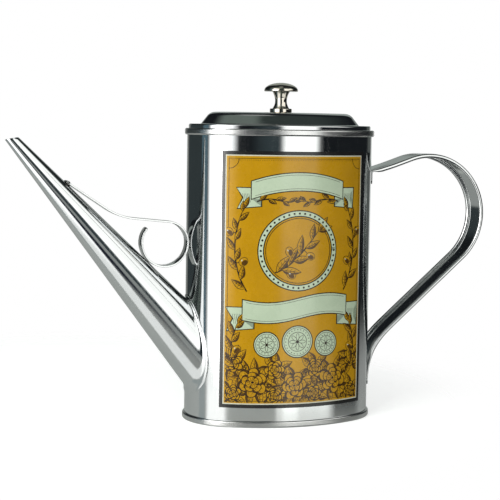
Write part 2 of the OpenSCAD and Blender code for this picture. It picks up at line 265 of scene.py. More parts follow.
def lathe(profile, n=96):
    """Turns (radius, height) points round the Z axis; both ends lie on the axis."""
    profile = refine(profile, False, 0.05, 0.4)
    m = len(profile)
    verts = []
    for i in range(n):
        c = heading(360 * i / n)
        verts += [(p[0] * c[0], p[0] * c[1], p[1]) for p in profile]
    faces = []
    for i in range(n):
        j = (i + 1) % n
        faces += [(i * m + k, j * m + k, j * m + k + 1, i * m + k + 1) for k in range(m - 1)]
    faces.append(tuple(i * m for i in range(n)))
    faces.append(tuple(i * m + m - 1 for i in range(n)))
    return verts, faces


def tube_faces(n_rings, n_pts, caps=True):
    faces = []
    for i in range(n_rings - 1):
        for k in range(n_pts):
            q = (k + 1) % n_pts
            faces.append((i * n_pts + k, (i + 1) * n_pts + k, (i + 1) * n_pts + q, i * n_pts + q))
    if caps:
        faces.append(tuple(range(n_pts)))
        faces.append(tuple((n_rings - 1) * n_pts + k for k in range(n_pts)))
    return faces


# Metals

polished = steel("polished_sheet", (0.80, 0.81, 0.81), (0.74, 0.755, 0.755), 0.05, 0.2, (1, 1, 0.03))
satin = steel("strap_sheet", (0.76, 0.77, 0.765), (0.69, 0.70, 0.695), 0.08, 0.18, (0.3, 0.3, 0.3))
lid_steel = steel("lid_sheet", (0.80, 0.81, 0.81), (0.74, 0.75, 0.75), 0.06, 0.22, (0.03, 1, 1))
knob_metal = steel("knob_metal", (0.80, 0.75, 0.67), (0.70, 0.64, 0.54), 0.07, 0.2, (1, 1, 6), 0.000008)
dull = steel("dull_sheet", (0.62, 0.63, 0.63), (0.5, 0.51, 0.51), 0.25, 0.5, (1, 1, 1))
fastener = steel("fastener", (0.66, 0.66, 0.64), (0.55, 0.55, 0.53), 0.2, 0.45, (1, 1, 1))
seam_steel = steel("seam_sheet", (0.74, 0.74, 0.73), (0.68, 0.68, 0.67), 0.24, 0.28, (1, 1, 0.3))
solder = steel("solder", (0.60, 0.60, 0.58), (0.42, 0.42, 0.40), 0.25, 0.6, (1, 1, 1), 0.0003)

# Spout

SPOUT_RISE = 48.57
SPOUT_LEN = 149.4
ROOT_R = 16.4
TIP_R = 3.2
TIP_TILT = 10.7
TAPER = (ROOT_R - TIP_R) / SPOUT_LEN
sr = math.radians(SPOUT_RISE)
AXIS_O = np.array([-HALF_LENGTH, 0.0, 46.0])
AXIS_D = np.array([-math.cos(sr), 0.0, math.sin(sr)])
AXIS_U = np.array([math.sin(sr), 0.0, math.cos(sr)])
AXIS_V = np.array([0.0, 1.0, 0.0])
TIP_P = AXIS_O + SPOUT_LEN * AXIS_D
TIP_N = np.array([-math.sin(math.radians(TIP_TILT)), 0.0, math.cos(math.radians(TIP_TILT))])


def spout_point(phi, s, grow):
    return AXIS_O + s * AXIS_D + (ROOT_R - TAPER * s + grow) * (
        math.cos(phi) * AXIS_U + math.sin(phi) * AXIS_V)


def spout_root(phi, grow, out):
    """How far along the axis this line of the cone meets the can's end, moved out by out."""
    lo, hi = -30.0, 70.0
    for _ in range(50):
        mid = (lo + hi) / 2
        p = spout_point(phi, mid, grow)
        if (p[0] + END_CENTRE) ** 2 + p[1] ** 2 < (END_R + out) ** 2:
            lo = mid
        else:
            hi = mid
    return hi


def spout_tip(phi, grow, back=0.0):
    c = math.cos(phi) * AXIS_U + math.sin(phi) * AXIS_V
    rest = (TIP_P - TIP_N * back - AXIS_O - (ROOT_R + grow) * c) @ TIP_N
    return rest / ((AXIS_D - TAPER * c) @ TIP_N)


SEAM_PHI = -74.0
SEAM_TWIST = 17.0 / 90.0
SEAM_STEP = 0.22


def make_spout():
    angles = []
    base = [360.0 * i / 180 for i in range(180)]
    for a in base:
        angles.append(a)
    angles = sorted(set([0.0, 0.35] + angles[1:]))
    rings = []
    spans = [0.0, 0.012, 0.1, 0.2, 0.32, 0.44, 0.56, 0.68, 0.8, 0.9, 0.99, 0.997]

    def ridge(k, strength):
        d = angles[k]
        if d < 0.2:
            return 0.0
        return strength * SEAM_STEP * max(0.0, 1 - (d - 0.35) / 70)

    for k, d in enumerate(angles):
        ring = []
        phi0 = math.radians(SEAM_PHI + d)
        low = spout_point(phi0, spout_root(phi0, 2.0, 0.03), 2.0)
        edge = spout_point(phi0, spout_root(phi0, 2.0, 0.38), 2.0)
        top = spout_point(phi0, spout_root(phi0, 1.85, 0.5), 1.85)
        flat = spout_point(phi0, spout_root(phi0, 1.2, 0.5), 1.2)
        corner = spout_point(phi0, spout_root(phi0, 0.0, 0.5), 0.0)
        start = spout_root(phi0, 0.0, 2.0)
        ring += [low, edge, top, flat]
        head = spout_point(phi0, start, 0.0)
        for i in range(1, 8):
            t = i / 8
            ring.append((1 - t) ** 2 * flat + 2 * t * (1 - t) * corner + t * t * head)
        end = spout_tip(phi0, 0.0)
        for f in spans:
            s = start + (end - start) * f
            phi = math.radians(SEAM_PHI + d + SEAM_TWIST * max(0.0, s) * (1 - f))
            lift = ridge(k, smoothstep(0.0, 0.1, f) * (1 - smoothstep(0.75, 0.97, f)))
            ring.append(spout_point(phi, s, lift))
        ring.append(spout_point(phi0, spout_tip(phi0, -0.12, 0.02), -0.12))
        ring.append(spout_point(phi0, spout_tip(phi0, -0.48, 0.02), -0.48))
        inner_end = spout_tip(phi0, -SHEET, 0.15)
        inner_start = spout_root(phi0, -SHEET, 0.03)
        for f in (1.0, 0.97, 0.6, 0.25, 0.03, 0.0):
            ring.append(spout_point(phi0, inner_start + (inner_end - inner_start) * f, -SHEET))
        rings.append(ring)
    n = len(rings)
    m = len(rings[0])
    verts = [p for ring in rings for p in ring]
    faces = []
    for i in range(n):
        j = (i + 1) % n
        for k in range(m):
            q = (k + 1) % m
            faces.append((i * m + k, j * m + k, j * m + q, i * m + q))
    return verts, faces


def wall_hole(p):
    """Below 0 where a point of the wall is inside the spout's bore."""
    q = np.array(p) - AXIS_O
    s = q @ AXIS_D
    return np.linalg.norm(q - s * AXIS_D) - (ROOT_R - TAPER * s - SHEET)


def make_wall():
    rows = [SHEET, 0.9, 8.0] + [18.0 + i for i in range(62)] + [90.0, 120.0, 150.0, WALL_TOP - 0.3, WALL_TOP]
    n = len(STATIONS)
    m = len(rows)
    grid = [[(x, y, z) for z in rows] for x, y, _, _ in STATIONS]
    value = [[wall_hole(p) if p[0] < -30 else 9.0 for p in col] for col in grid]
    middle = 49.0
    moved = [[p for p in col] for col in grid]
    gone = [[value[i][k] < 0 for k in range(m)] for i in range(n)]
    for i in range(n):
        for k in range(1, m - 1):
            if not gone[i][k]:
                continue
            around = [gone[(i + a) % n][k + b] for a in (-1, 0, 1) for b in (-1, 0, 1)]
            if all(around):
                continue
            x, y, z = grid[i][k]
            a0 = math.atan2(y, -(x + END_CENTRE))
            lo, hi = 1.0, 1.6
            for _ in range(30):
                f = (lo + hi) / 2
                a = a0 * f
                p = (-END_CENTRE - END_R * math.cos(a), END_R * math.sin(a), middle + (z - middle) * f)
                if wall_hole(p) < 0:
                    lo = f
                else:
                    hi = f
            moved[i][k] = p
            value[i][k] = 0.0
    verts = [p for col in moved for p in col]
    faces = []
    for i in range(n):
        j = (i + 1) % n
        for k in range(m - 1):
            if min(value[i][k], value[j][k], value[i][k + 1], value[j][k + 1]) >= 0:
                faces.append((i * m + k, j * m + k, j * m + k + 1, i * m + k + 1))
    return verts, faces


# Strip path, as in the solids: each step is (straight run, turn, radius)

def walk(p, direction, steps, every):
    p = np.array(p, float)
    out = [(p, direction)]
    for run, turn, radius in steps:
        side = -radius if turn < 0 else radius
        corner = p + run * heading(direction)
        n = math.ceil(abs(turn) / every)
        if n == 0:
            out.append((corner, direction))
            p = corner
            continue
        a = math.radians(direction)
        for k in range(n + 1):
            d = direction + turn * k / n
            b = math.radians(d)
            out.append((corner + side * np.array([math.sin(b) - math.sin(a), math.cos(a) - math.cos(b)]), d))
        p = out[-1][0]
        direction += turn
    return out


HALF_ANGLE = math.degrees(math.atan(TAPER))
SPOUT_TOP = SPOUT_RISE - HALF_ANGLE
TOP_N = np.array([math.sin(math.radians(SPOUT_TOP)), math.cos(math.radians(SPOUT_TOP))])
TOP_P = np.array([TIP_P[0], TIP_P[2]]) + TIP_R / math.cos(math.radians(HALF_ANGLE)) * TOP_N
BRACE_T = 1.0
BRACE_W = 8.0
SCROLL_R = 13.2
SCROLL_IN_R = 11.8
TAB_LEN = 1.8
GAP = 0.2
LIFT = 10.0
ARCH_TURN = 28.0
ARCH_R = 36.0
TAB_BEND_R = 6.0
scroll_out = SCROLL_R + BRACE_T / 2
scroll_x = -HALF_LENGTH - scroll_out - GAP
scroll_z = TOP_P[1] + (scroll_out + GAP - TOP_N[0] * (scroll_x - TOP_P[0])) / TOP_N[1]
lift_dir = -SPOUT_TOP + LIFT
run_dir = lift_dir + ARCH_TURN


def sine(a):
    return math.sin(math.radians(a))


def cosine(a):
    return math.cos(math.radians(a))


scroll_in = 90 + run_dir
scroll_start = np.array([scroll_x + SCROLL_R - SCROLL_IN_R - SCROLL_IN_R * sine(run_dir),
                         scroll_z + SCROLL_IN_R * cosine(run_dir)])
arch_end = scroll_start - 20.0 * heading(run_dir)
arch_start = arch_end - ARCH_R * np.array(
    [sine(run_dir) - sine(lift_dir), cosine(lift_dir) - cosine(run_dir)])
tab_bend = TAB_BEND_R * np.array(
    [sine(lift_dir) + sine(SPOUT_TOP), cosine(SPOUT_TOP) - cosine(lift_dir)])
arch_off = (arch_start - tab_bend - TOP_P) @ TOP_N - (BRACE_T / 2 + GAP)
lift_run = arch_off / sine(LIFT)
brace_start = arch_start - lift_run * heading(lift_dir) - tab_bend - TAB_LEN * heading(-SPOUT_TOP)


def make_brace():
    path = walk(brace_start, -SPOUT_TOP, [
        (TAB_LEN, LIFT, TAB_BEND_R), (lift_run, ARCH_TURN, ARCH_R), (20.0, -scroll_in, SCROLL_IN_R),
        (0, scroll_in - 304.0, SCROLL_R)], 2.5)
    dense = []
    for (a, da), (b, db) in zip(path[:-1], path[1:]):
        dense.append((a, da))
        d = np.linalg.norm(b - a)
        if d > 3:
            dense.append((a + (b - a) * 0.1 / d, da))
            dense.append((b - (b - a) * 0.1 / d, db))
    dense.append(path[-1])
    total = len(dense)
    along = [0.0]
    for (a, _), (b, _) in zip(dense[:-1], dense[1:]):
        along.append(along[-1] + np.linalg.norm(b - a))
    r = 0.22
    rings = []
    for (p, d), s in zip(dense, along):
        end = min(s, along[-1] - s)
        half = BRACE_W / 2
        corner = 1.2
        if end < corner:
            half -= corner - math.sqrt(corner ** 2 - (corner - end) ** 2)
        n = heading(d + 90)
        ring = []
        for cy, cn, start in ((1, 1, 0), (-1, 1, 90), (-1, -1, 180), (1, -1, 270)):
            for i in range(4):
                a = heading(start + 30 * i)
                y = cy * (half - r) + r * a[0]
                t = cn * (BRACE_T / 2 - r) + r * a[1]
                ring.append((p[0] + n[0] * t, y, p[1] + n[1] * t))
        rings.append(ring)
    return [v for ring in rings for v in ring], tube_faces(total, len(rings[0]))


# Handle

STRAP_T = 0.8
RIM_R = 1.25
STRAP_RISE = 19.6
GRIP_TURN = 158.0
GRIP_R = 35.4
FOOT_R = 41.0
FOLD_R = 2.0
TONGUE_R = 2.5


def strap_section(half, r, n=10, m=14):
    y = half - r
    last = -180 - math.degrees(math.asin((r - STRAP_T) / r))
    inner = y + r * cosine(last)
    rim = [(r * sine(90 + (last - 90) * k / m) - r, r * cosine(90 + (last - 90) * k / m))
           for k in range(1, m)]
    out = [(0.0, y * (2 * i / n - 1)) for i in range(n + 1)]
    out += [(q[0], y + q[1]) for q in rim]
    out += [(-STRAP_T, inner * (1 - 2 * i / n)) for i in range(n + 1)]
    out += [(q[0], -y - q[1]) for q in reversed(rim)]
    return out


def make_handle():
    grip_dir = STRAP_RISE - GRIP_TURN
    foot_turn = -90 - grip_dir
    fold_shift = FOLD_R * (1 - sine(STRAP_RISE))
    grip_shift = GRIP_R * (sine(STRAP_RISE) - sine(grip_dir))
    foot_shift = FOOT_R * (-1 - sine(grip_dir))
    strap_run = 23.6
    slant = (fold_shift + strap_run * cosine(STRAP_RISE) + grip_shift + foot_shift - STRAP_T)
    slant /= -cosine(grip_dir)
    steps = 12
    corners = [TONGUE_R * ((1 - cosine(90 * i / steps)) - (1 - cosine(90 * (i - 1) / steps)))
               for i in range(1, steps + 1)]
    path = walk([HALF_LENGTH + 0.1, 142.2 - 8.0], 90, (
        [(c, 0, 0) for c in corners]
        + [(8.0 - TONGUE_R - FOLD_R, STRAP_RISE - 90, FOLD_R)]
        + [(strap_run / 10, 0, 0)] * 9
        + [(strap_run / 10, -GRIP_TURN, GRIP_R), (slant, foot_turn, FOOT_R), (0.5, 0, 0)]
        + [(c, 0, 0) for c in reversed(corners)]), 2.2)
    last = len(path) - 1
    rings = []
    for i, (p, d) in enumerate(path):
        off = p[0] - HALF_LENGTH
        end = path[0 if i < last / 2 else last][0][1]
        into = TONGUE_R - min(TONGUE_R, p[1] - end)
        half = 10.0 - TONGUE_R + math.sqrt(max(0.0, TONGUE_R ** 2 - into ** 2))
        r = STRAP_T / 2 + (RIM_R - STRAP_T / 2) * smoothstep(2.5, 4.5, off)
        wrap = 1 - smoothstep(2.0, 14.0, off)
        n = heading(d + 90)
        rings.append([
            (p[0] + q[0] * n[0] - wrap * (END_R - math.sqrt(END_R ** 2 - q[1] ** 2)), q[1],
             p[1] + q[0] * n[1]) for q in strap_section(half, r)])
    return [v for ring in rings for v in ring], tube_faces(len(rings), len(rings[0]))


# Seams, floor and lid

def mouth_profile():
    low = HEIGHT - BEAD_H
    out = BEAD_OUT - 1.0
    return ([(0, low)] + arc((out, low + 1), 1.0, -90, 0, 14) + arc((out, HEIGHT - 1), 1.0, 0, 90, 14)
            + arc((-4.0, WALL_TOP), SHEET, 90, 180, 8)
            + [(-4.6, HEIGHT - 5), (-4.0, HEIGHT - 5), (-4.0, WALL_TOP), (-1.2, WALL_TOP),
               (-1.2, low - 1), (-0.6, low - 1), (-0.6, WALL_TOP), (0, WALL_TOP)])


def base_profile():
    out = BEAD_OUT - 1.0
    return ([(-26.0, 3.6), (-12.0, 3.6), (-0.6, 3.6), (-0.6, 0.6), (0, 0.6), (0, BEAD_H)]
            + arc((out, BEAD_H - 1), 1.0, 90, 0, 14) + arc((out, 1.0), 1.0, 0, -90, 14)
            + [(-1.2, 0), (-1.2, 3.0), (-12.0, 3.0), (-26.0, 3.0)])


def lid_profile():
    inset = 7.6
    slope = 52.0
    sh = 6.0
    top_inset = inset + (6.8 - sh * (1 - cosine(slope))) / math.tan(math.radians(slope)) + sh * sine(slope)

    def face(t):
        return ([(-0.8 - t, HEIGHT)]
                + arc((-1.8, LID_FLAT_Z - 1), 1.0 - t, 0, 90, 14)
                + arc((math.tan(math.radians(slope / 2)) - inset, LID_FLAT_Z + 1), 1.0 + t, -90, -90 - slope, 12)
                + arc((-top_inset, LID_TOP_Z - sh), sh - t, 90 - slope, 90, 22)
                + [(-top_inset - 4, LID_TOP_Z - t), (-27.0, LID_TOP_Z - t)])

    return list(reversed(face(0))) + face(SHEET)


def collar_profile():
    collar_out = 4.9
    top = LID_FLAT_Z - SHEET
    inner = -collar_out - SHEET
    return [(inner, HEIGHT - 8), (-collar_out, HEIGHT - 8), (-collar_out, top - SHEET),
            (-collar_out + 1.6, top - SHEET), (-collar_out + 1.6, top), (inner, top)]


def neck_points(r, z, n=18):
    return [(3.35 + (r - 3.35) * (1 - i / n) ** 2, 6.7 + (z - 6.7) * (1 - i / n)) for i in range(n)]


def knob_profile():
    edge = 0.5
    pts = [(0.02, 10.0), (2.1, 10.0), (2.1, 0.0), (6.3 - edge, 0), (6.3, edge)]
    pts += arc((6.3 - edge, 2.4 - edge), edge, 0, 90, 6)
    pts += neck_points(6.3 - 1.5, 2.4)
    pts += list(reversed(neck_points(5.0, 12.0)))
    pts += arc((9.65 - edge, 12.0 + edge), edge, -90, 0, 8)
    pts += [(9.65 * cosine(a), 12.0 + edge + 4.5 * sine(a)) for a in range(3, 90, 3)]
    pts += [(0.02, 17.0)]
    return [(r, z + LID_TOP_Z) for r, z in pts]


add_piece("can_wall", *make_wall(), polished, "can", "polished_sheet", ["body_shell"], solid=SHEET)
add_piece("mouth_seam", *oval_sweep(mouth_profile()), seam_steel, "can", "polished_sheet", ["mouth_ring"])
add_piece("base_seam", *oval_sweep(base_profile(), False), seam_steel, "can", "polished_sheet", ["base_pan"])
add_piece("spout", *make_spout(), polished, "can", "polished_sheet", ["spout_cone"])
add_piece("brace", *make_brace(), satin, "can", "polished_sheet", ["scroll_brace"])
add_piece("handle", *make_handle(), satin, "can", "polished_sheet", ["handle_strap"])
add_piece("lid_sheet", *oval_sweep(lid_profile(), False), lid_steel, "lid", "polished_sheet", ["lid_cover"])
add_piece("lid_band", *oval_sweep(collar_profile()), dull, "lid", "polished_sheet", ["lid_collar"])
add_piece("knob", *lathe(knob_profile()), knob_metal, "lid", "knob_metal", ["lid_knob"])

# Label: printed inks as thin films on the wall. u runs round the wall from the label's
# middle, towards the handle; v is height.

LABEL_LOW = 11.0
LABEL_TOP = 153.0
LABEL_MID = (LABEL_LOW + LABEL_TOP) / 2
SIDE_TURN = 90 - END_SPAN
LABEL_HALF = math.radians(SIDE_TURN) * SIDE_R + math.radians(6.6) * END_R


def on_wall(u, v, lift):
    reach = math.radians(SIDE_TURN) * SIDE_R
    side = 1 if u >= 0 else -1
    if abs(u) <= reach:
        a = math.degrees(u / SIDE_R)
        cx, cy, r = 0.0, SIDE_CENTRE, SIDE_R
    else:
        a = side * (SIDE_TURN + math.degrees((abs(u) - reach) / END_R))
        cx, cy, r = side * END_CENTRE, 0.0, END_R
    return (cx + (r + lift) * sine(a), cy - (r + lift) * cosine(a), v)


def print_film(name, shapes, lift, material, margin=0.0, replaced=()):
    """Lays flat shapes, lists of (u, v), on the wall as one film with a fine slicing."""
    bm = bmesh.new()
    for shape in shapes:
        verts = [bm.verts.new((u, v, 0)) for u, v in shape]
        bm.faces.new(verts)
    bmesh.ops.triangulate(bm, faces=bm.faces[:], ngon_method="EAR_CLIP")
    if margin:
        for place, way in (((LABEL_HALF - margin, 0, 0), (1, 0, 0)), ((margin - LABEL_HALF, 0, 0), (-1, 0, 0)),
                           ((0, LABEL_TOP - margin, 0), (0, 1, 0)), ((0, LABEL_LOW + margin, 0), (0, -1, 0))):
            geom = bm.verts[:] + bm.edges[:] + bm.faces[:]
            bmesh.ops.bisect_plane(bm, geom=geom, dist=1e-5, plane_co=place, plane_no=way, clear_outer=True)
    step = 1.7
    k = -math.floor(LABEL_HALF / step)
    while k * step < LABEL_HALF:
        geom = bm.verts[:] + bm.edges[:] + bm.faces[:]
        bmesh.ops.bisect_plane(bm, geom=geom, dist=1e-5, plane_co=(k * step, 0, 0), plane_no=(1, 0, 0))
        k += 1
    for f in bm.faces:
        if f.normal.z < 0:
            f.normal_flip()
    for vert in bm.verts:
        vert.co = Vector(on_wall(vert.co.x, vert.co.y, lift)) * MM
    mesh = bpy.data.meshes.new(name)
    bm.to_mesh(mesh)
    bm.free()
    for p in mesh.polygons:
        p.use_smooth = True
    mesh.materials.append(material)
    obj = bpy.data.objects.new(name, mesh)
    scene.collection.objects.link(obj)
    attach(obj, "can")
    if replaced:
        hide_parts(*replaced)
    return obj


def rect(u0, v0, u1, v1):
    return [(u0, v0), (u1, v0), (u1, v1), (u0, v1)]


def ellipse(c, a, b, turn=0.0, n=40):
    ct, st = cosine(turn), sine(turn)
    out = []
    for i in range(n):
        x = a * cosine(360 * i / n)
        y = b * sine(360 * i / n)
        out.append((c[0] + x * ct - y * st, c[1] + x * st + y * ct))
    return out


def frame_of(line):
    """Unit tangents of a polyline."""
    out = []
    for i in range(len(line)):
        a = np.array(line[max(0, i - 1)])
        b = np.array(line[min(len(line) - 1, i + 1)])
        out.append((b - a) / np.linalg.norm(b - a))
    return out


def strokes(line, width, taper=(1.0, 1.0)):
    """A line of ink as a chain of quads; its width tapers to the given shares at its ends."""
    tang = frame_of(line)
    n = len(line)
    left, right_side = [], []
    for i, (p, t) in enumerate(zip(line, tang)):
        f = i / (n - 1)
        w = width / 2 * min(1.0, taper[0] + (1 - taper[0]) * f * 4, taper[1] + (1 - taper[1]) * (1 - f) * 4)
        left.append((p[0] - t[1] * w, p[1] + t[0] * w))
        right_side.append((p[0] + t[1] * w, p[1] - t[0] * w))
    return [[left[i], right_side[i], right_side[i + 1], left[i + 1]] for i in range(n - 1)]


def closed_stroke(points, width):
    return strokes(list(points) + [points[0], points[1]], width)


def curve(p0, p1, p2, p3, n=24):
    out = []
    for i in range(n + 1):
        t = i / n
        a = (1 - t) ** 3
        b = 3 * t * (1 - t) ** 2
        c = 3 * t * t * (1 - t)
        d = t ** 3
        out.append((a * p0[0] + b * p1[0] + c * p2[0] + d * p3[0],
                    a * p0[1] + b * p1[1] + c * p2[1] + d * p3[1]))
    return out


inks = defaultdict(list)


def leaf(base, turn, length, width, bend=0.0, grow=0.36, level=""):
    """One leaf: an outline film under a fill, a midrib, veins and a shaded edge."""
    def edge(side, extra, share=1.0):
        pts = []
        n = 10
        for i in range(n + 1):
            t = i / n
            x = length * t
            y = side * (share * width / 2 * math.sin(math.pi * t ** 0.85) + (extra if 0 < i < n else 0))
            if extra and i in (0, n):
                x += extra * 1.5 * (1 if i else -1)
            y += bend * length * t * t
            pts.append((base[0] + x * cosine(turn) - y * sine(turn), base[1] + x * sine(turn) + y * cosine(turn)))
        return pts
    inks[level + "outline"].append(edge(1, grow) + edge(-1, grow)[::-1][1:-1])
    up_side = edge(1, 0)
    down = edge(-1, 0)
    inks[level + "leaf"].append(up_side + down[::-1][1:-1])
    inks[level + "shade"].append(edge(-1, 0, 0.38) + down[::-1][1:-1])
    rib = edge(0, 0)
    inks[level + "mark"].extend(strokes(rib[1:-1], 0.3, (1.0, 0.2)))
    for i in range(2, 8, 2):
        for side, share in ((up_side, 0.72), (down, 0.5)):
            vein = [rib[i], tuple(np.array(side[i + 1]) * share + np.array(rib[i + 1]) * (1 - share))]
            inks[level + "mark"].extend(strokes(vein, 0.2))


def petal(c, turn, length, width, level):
    """A round petal with an outline, a shaded edge and two fine lines."""
    def edge(side, grow, share=1.0):
        pts = []
        for i in range(13):
            t = i / 12
            x = (length + grow) * t
            y = side * (share * width / 2 * max(0.0, math.sin(math.pi * t ** 1.9)) ** 0.55 + (grow if 0 < i < 12 else 0))
            pts.append((c[0] + x * cosine(turn) - y * sine(turn), c[1] + x * sine(turn) + y * cosine(turn)))
        return pts
    inks[level + "outline"].append(edge(1, 0.36) + edge(-1, 0.36)[::-1][1:-1])
    inks[level + "leaf"].append(edge(1, 0) + edge(-1, 0)[::-1][1:-1])
    inks[level + "shade"].append(edge(-1, 0, 0.62)[4:] + edge(-1, 0)[::-1][1:-5])
    for side in (1, -1):
        inks[level + "mark"].extend(strokes(edge(side, 0, 0.34)[5:11], 0.2, (0.3, 0.3)))


def blossom(c, r, turn):
    """Three rings of petals, each on its own level, round a bud."""
    for level, reach, count, width in (("low_", 1.0, 6, 0.72), ("mid_", 0.7, 5, 0.62), ("top_", 0.42, 4, 0.46)):
        for k in range(count):
            wave = 1 + 0.08 * math.sin(2.3 * k + turn)
            petal(c, turn * (1 + reach) + 360 * k / count, reach * r * wave, width * r, level)
    inks["top_mark"].append(ellipse(c, 0.1 * r, 0.08 * r, turn, 14))
    inks["top_mark"].extend(closed_stroke(ellipse(c, 0.19 * r, 0.16 * r, turn, 20), 0.22))


def olive(c, a, b, turn):
    inks["outline"].append(ellipse(c, a + 0.28, b + 0.28, turn, 28))
    inks["leaf"].append(ellipse(c, a, b, turn, 28))
    shift = (c[0] + 0.18 * a * sine(turn) + 0.1 * a, c[1] - 0.25 * b)
    inks["shade"].append(ellipse(shift, a * 0.72, b * 0.62, turn, 24))
    glint = (c[0] - 0.35 * a, c[1] + 0.35 * b)
    inks["glint"].append(ellipse(glint, a * 0.22, b * 0.16, turn + 20, 12))


def branch(line, leaf_len, leaf_w, every, olives=(), phase=0, lean=38):
    """A twig along a line, with leaves on alternate sides and olives at the given places."""
    inks["outline"].extend(strokes(line, 0.75, (1.0, 0.35)))
    tang = frame_of(line)
    n = len(line)
    for k, i in enumerate(range(1 + phase, n, every)):
        t = tang[i]
        a = math.degrees(math.atan2(t[1], t[0]))
        side = 1 if k % 2 == 0 else -1
        fall = 1 - 0.35 * i / n
        leaf(line[i], a + side * (lean + 7 * math.sin(2.1 * k)), leaf_len * fall * (1 + 0.12 * math.sin(3.7 * k)),
             leaf_w * fall, -side * 0.12)
    a = math.degrees(math.atan2(tang[-1][1], tang[-1][0]))
    leaf(line[-1], a, leaf_len * 0.75, leaf_w * 0.7)
    for i, side, gap in olives:
        t = tang[i]
        p = line[i]
        c = (p[0] - side * t[1] * gap, p[1] + side * t[0] * gap)
        inks["outline"].extend(strokes([p, c], 0.4))
        olive(c, 2.5, 2.0, math.degrees(math.atan2(t[1], t[0])) + 60 * side)


def ribbon(line, width, fold_ends=True):
    """A plain ribbon along a line, with swallow-tail ends folded behind it."""
    tang = frame_of(line)
    half = width / 2

    def band_of(extra, over):
        top, low = [], []
        for i, (p, t) in enumerate(zip(line, tang)):
            shift = 0.0
            if i == 0:
                shift = -over
            if i == len(line) - 1:
                shift = over
            top.append((p[0] + shift * t[0], p[1] + shift * t[1] + half + extra))
            low.append((p[0] + shift * t[0], p[1] + shift * t[1] - half - extra))
        return [[low[i], low[i + 1], top[i + 1], top[i]] for i in range(len(line) - 1)]

    if fold_ends:
        for end, s in ((0, -1), (len(line) - 1, 1)):
            p = line[end]
            q = (p[0] - s * width * 0.55, p[1] - half)
            tail = [(q[0], q[1] - width * 0.42), (q[0] + s * width * 1.35, q[1] - width * 0.55),
                    (q[0] + s * width * 1.02, q[1] + width * 0.06),
                    (q[0] + s * width * 1.4, q[1] + width * 0.62), (q[0], q[1] + width * 0.62)]
            mid = np.mean(np.array(tail), axis=0)
            out_tail = [tuple(np.array(v) + (np.array(v) - mid) / np.linalg.norm(np.array(v) - mid) * 0.75)
                        for v in tail]
            inks["under_outline"].append(out_tail)
            inks["under_fill"].append(tail)
            fold = [(p[0], p[1] - half), (q[0], q[1]), (q[0], q[1] - width * 0.42)]
            inks["under_fold"].append(fold)
            for k in range(5):
                x = q[0] + s * width * (0.62 + 0.09 * k)
                inks["under_lines"].extend(strokes([(x, q[1] - width * 0.2), (x + s * 0.9, q[1] + width * 0.3)], 0.2))
    inks["outline"].extend(band_of(0.55, 0.55))
    inks["cream"].extend(band_of(0.0, 0.0))
    for sign in (1, -1):
        inset = [(p[0], p[1] + sign * (half - 1.0)) for p in line]
        inks["detail"].extend(strokes(inset[1:-1], 0.2))


def medallion(c, r, petals):
    inks["outline"].append(ellipse(c, r + 0.55, r + 0.55, 0, 56))
    inks["cream"].append(ellipse(c, r, r, 0, 56))
    inks["detail"].extend(closed_stroke(ellipse(c, r - 0.75, r - 0.75, 0, 48), 0.26))
    inks["detail"].extend(closed_stroke(ellipse(c, r * 0.62, r * 0.62, 0, 40), 0.3))
    for i in range(3 * petals):
        a = 360 * i / (3 * petals)
        p = (c[0] + (r - 1.75) * cosine(a), c[1] + (r - 1.75) * sine(a))
        inks["detail"].append(ellipse(p, 0.3, 0.3, 0, 8))
    for i in range(petals):
        a = 360 * i / petals + 90
        p = (c[0] + 0.31 * r * cosine(a), c[1] + 0.31 * r * sine(a))
        inks["detail"].extend(closed_stroke(ellipse(p, 0.23 * r, 0.1 * r, a, 16), 0.24))
    inks["detail"].append(ellipse(c, 0.09 * r, 0.09 * r, 0, 14))


def mirrored(points):
    return [(-u, v) for u, v in points]


